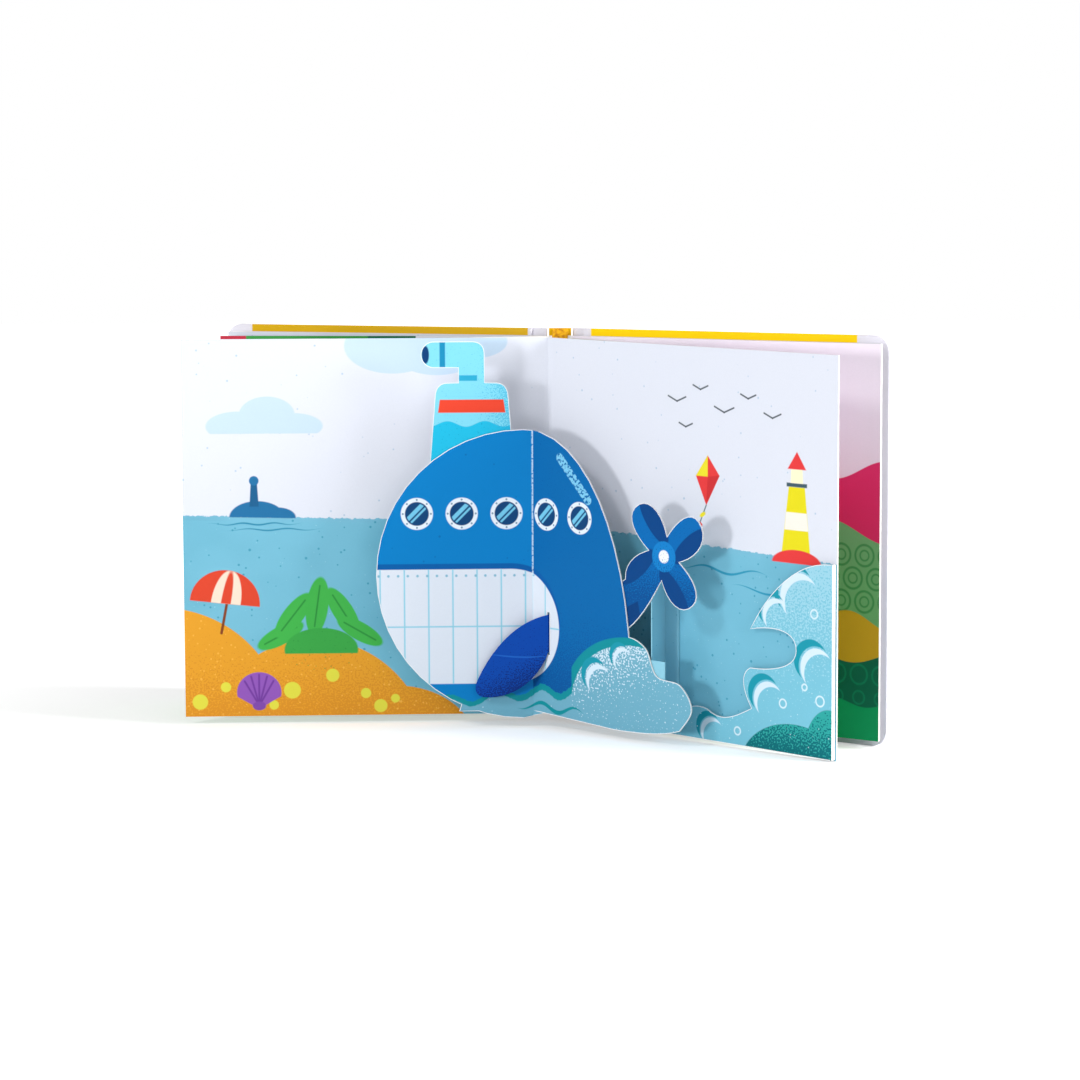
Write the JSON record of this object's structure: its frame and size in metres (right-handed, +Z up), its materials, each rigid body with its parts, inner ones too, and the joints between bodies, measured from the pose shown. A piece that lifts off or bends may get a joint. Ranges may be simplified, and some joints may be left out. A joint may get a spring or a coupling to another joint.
{
  "type": "childrens book",
  "caption": "Square children's pop-up book standing open in the middle: case with two hinged covers, fanned card leaves and a folded pop-up layer on slanted struts",
  "frame": {"origin": "middle of the ground outline of the standing open book, on the surface that it stands on", "axes": "+X to the reader's right along the open covers, +Y away from the reader, +Z up"},
  "size_m": [0.3734, 0.2518, 0.213],
  "materials": {
    "wrap_paper": "printed paper wrap over board, satin film",
    "yellow_wrap_paper": "printed yellow paper wrap over board, satin film",
    "lining_card": "matt card",
    "page_card": "printed matt card",
    "blue_card": "printed satin card",
    "support_card": "printed matt card",
    "cyan_card": "printed satin card",
    "dark_blue_card": "printed satin card",
    "sea_card": "printed satin card"
  },
  "bodies": {
    "book_block": {"spine": "yellow_wrap_paper", "pages": "page_card", "hull_panel": "blue_card", "left_strut": "support_card", "centre_strut": "support_card", "right_strut": "support_card", "hatch_tower": "cyan_card", "side_fin": "dark_blue_card", "screw": "dark_blue_card", "wave_card": "sea_card"},
    "front_board": {"front_cover": "wrap_paper", "front_pastedown": "lining_card"},
    "back_board": {"back_cover": "wrap_paper", "back_pastedown": "lining_card"}
  },
  "joints": [
    {"name": "front_cover_hinge", "type": "hinge", "parent": "book_block", "child": "front_board", "pos_m": [0.01112, 0.03999, 0.1065], "axis": [0, 0, -1], "range_deg": [-2.5, 65]},
    {"name": "back_cover_hinge", "type": "hinge", "parent": "book_block", "child": "back_board", "pos_m": [0.02452, 0.03999, 0.1065], "axis": [0, 0, 1], "range_deg": [0, 126]}
  ]
}
